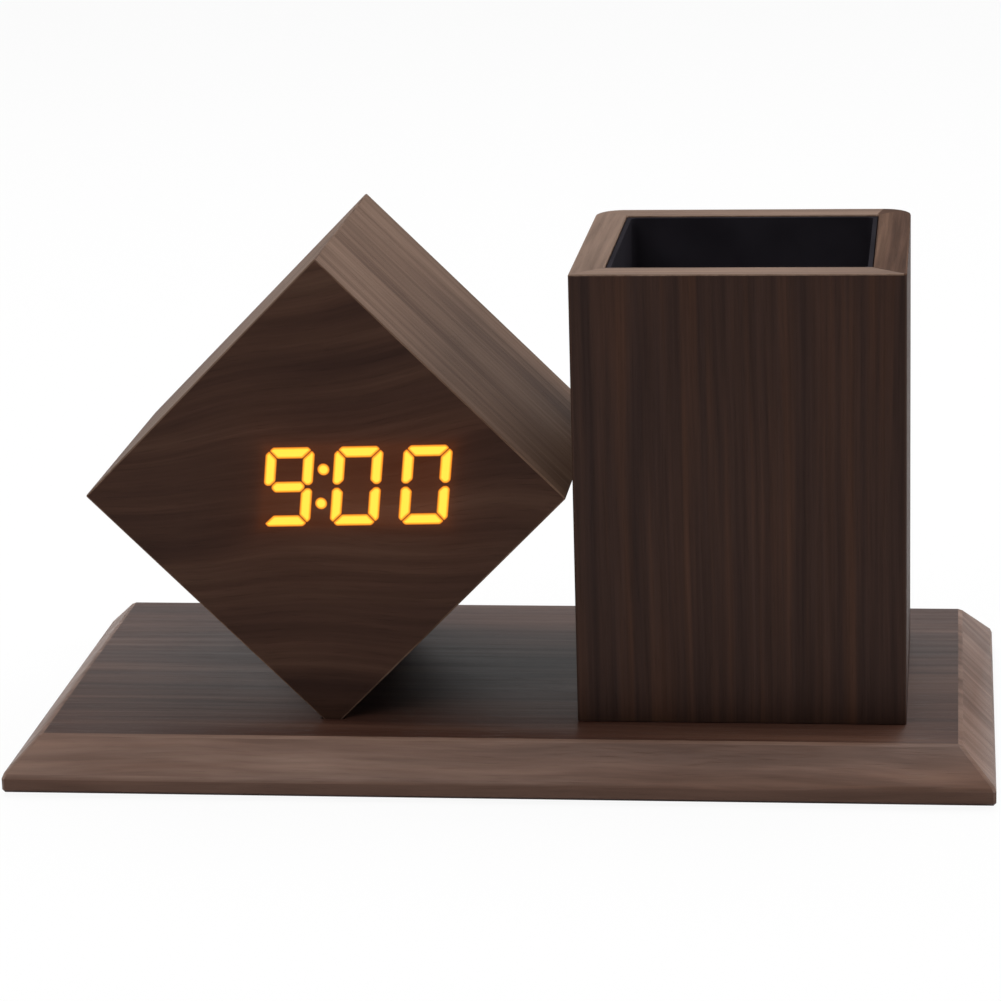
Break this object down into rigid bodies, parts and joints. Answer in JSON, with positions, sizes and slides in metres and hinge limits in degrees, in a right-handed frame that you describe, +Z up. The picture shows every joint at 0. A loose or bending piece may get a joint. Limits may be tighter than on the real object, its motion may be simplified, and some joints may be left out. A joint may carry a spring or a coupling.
{
  "type": "digital alarm clock with pen cup",
  "caption": "Wooden cube LED clock standing on one edge beside a square pen cup, both fixed to one chamfered board with rubber feet, with a battery door and push keys at the rear.",
  "frame": {"origin": "on the surface that the feet stand on, under the middle of the board", "axes": "+X runs along the board to the viewer's right, from the clock to the cup, +Y runs away from the viewer, +Z is up"},
  "size_m": [0.173, 0.092, 0.0929],
  "materials": {
    "walnut_veneer": "satin",
    "walnut_board": "satin",
    "raw_board": "matt",
    "cup_lining": "satin",
    "black_plastic": "satin",
    "white_plastic": "satin",
    "lit_segments": "gloss",
    "circuit_laminate": "satin",
    "plated_steel": "satin",
    "rubber_foot": "matt",
    "cell_sleeve": "gloss",
    "red_lead": "satin",
    "ribbon": "satin"
  },
  "bodies": {
    "desk_set": {"base_board": "walnut_board", "battery_lead_negative": "black_plastic", "battery_lead_positive": "red_lead", "board_screw_high": "plated_steel", "board_screw_low": "plated_steel", "board_spacer_high": "white_plastic", "board_spacer_low": "white_plastic", "buzzer": "black_plastic", "cell_1": "cell_sleeve", "cell_2": "cell_sleeve", "cell_3": "cell_sleeve", "clock_case": "walnut_veneer", "clock_chip": "black_plastic", "coin_cell": "plated_steel", "coin_cell_holder": "black_plastic", "contact_link_lower": "plated_steel", "contact_link_upper": "plated_steel", "contact_negative": "plated_steel", "contact_positive": "plated_steel", "corner_block_left": "raw_board", "corner_block_right": "raw_board", "cover_screw_left": "plated_steel", "cover_screw_right": "plated_steel", "cup_case": "walnut_veneer", "cup_floor": "raw_board", "cup_liner": "cup_lining", "cup_screw_left": "plated_steel", "cup_screw_right": "plated_steel", "foot_front_left": "rubber_foot", "foot_front_right": "rubber_foot", "foot_rear_left": "rubber_foot", "foot_rear_right": "rubber_foot", "front_panel": "walnut_veneer", "key_board": "circuit_laminate", "key_board_screw_left": "plated_steel", "key_board_screw_right": "plated_steel", "light_guide": "lit_segments", "main_board": "circuit_laminate", "microphone": "plated_steel", "power_jack": "black_plastic", "rear_cover": "black_plastic", "reflector": "white_plastic", "ribbon_cable": "ribbon", "seat_block": "raw_board", "seat_screw_front": "plated_steel", "seat_screw_rear": "plated_steel", "switch_down": "plated_steel", "switch_set": "plated_steel", "switch_up": "plated_steel", "thermistor": "black_plastic", "timing_crystal": "plated_steel"},
    "key_set": {"button_set": "black_plastic", "plunger_set": "black_plastic"},
    "key_up": {"button_up": "black_plastic", "plunger_up": "black_plastic"},
    "key_down": {"button_down": "black_plastic", "plunger_down": "black_plastic"},
    "door": {"battery_door": "black_plastic"}
  },
  "joints": [
    {"name": "set_key", "type": "slide", "parent": "desk_set", "child": "key_set", "axis": [0, -1, 0], "range_m": [0, 0.0005], "stiffness_N_per_m": 400},
    {"name": "up_key", "type": "slide", "parent": "desk_set", "child": "key_up", "axis": [0, -1, 0], "range_m": [0, 0.0005], "stiffness_N_per_m": 400},
    {"name": "down_key", "type": "slide", "parent": "desk_set", "child": "key_down", "axis": [0, -1, 0], "range_m": [0, 0.0005], "stiffness_N_per_m": 400},
    {"name": "battery_door_hinge", "type": "hinge", "parent": "desk_set", "child": "door", "pos_m": [-0.03432, 0.0283, 0.05485], "axis": [0.7071, 0, 0.7071], "range_deg": [0, 85]}
  ]
}
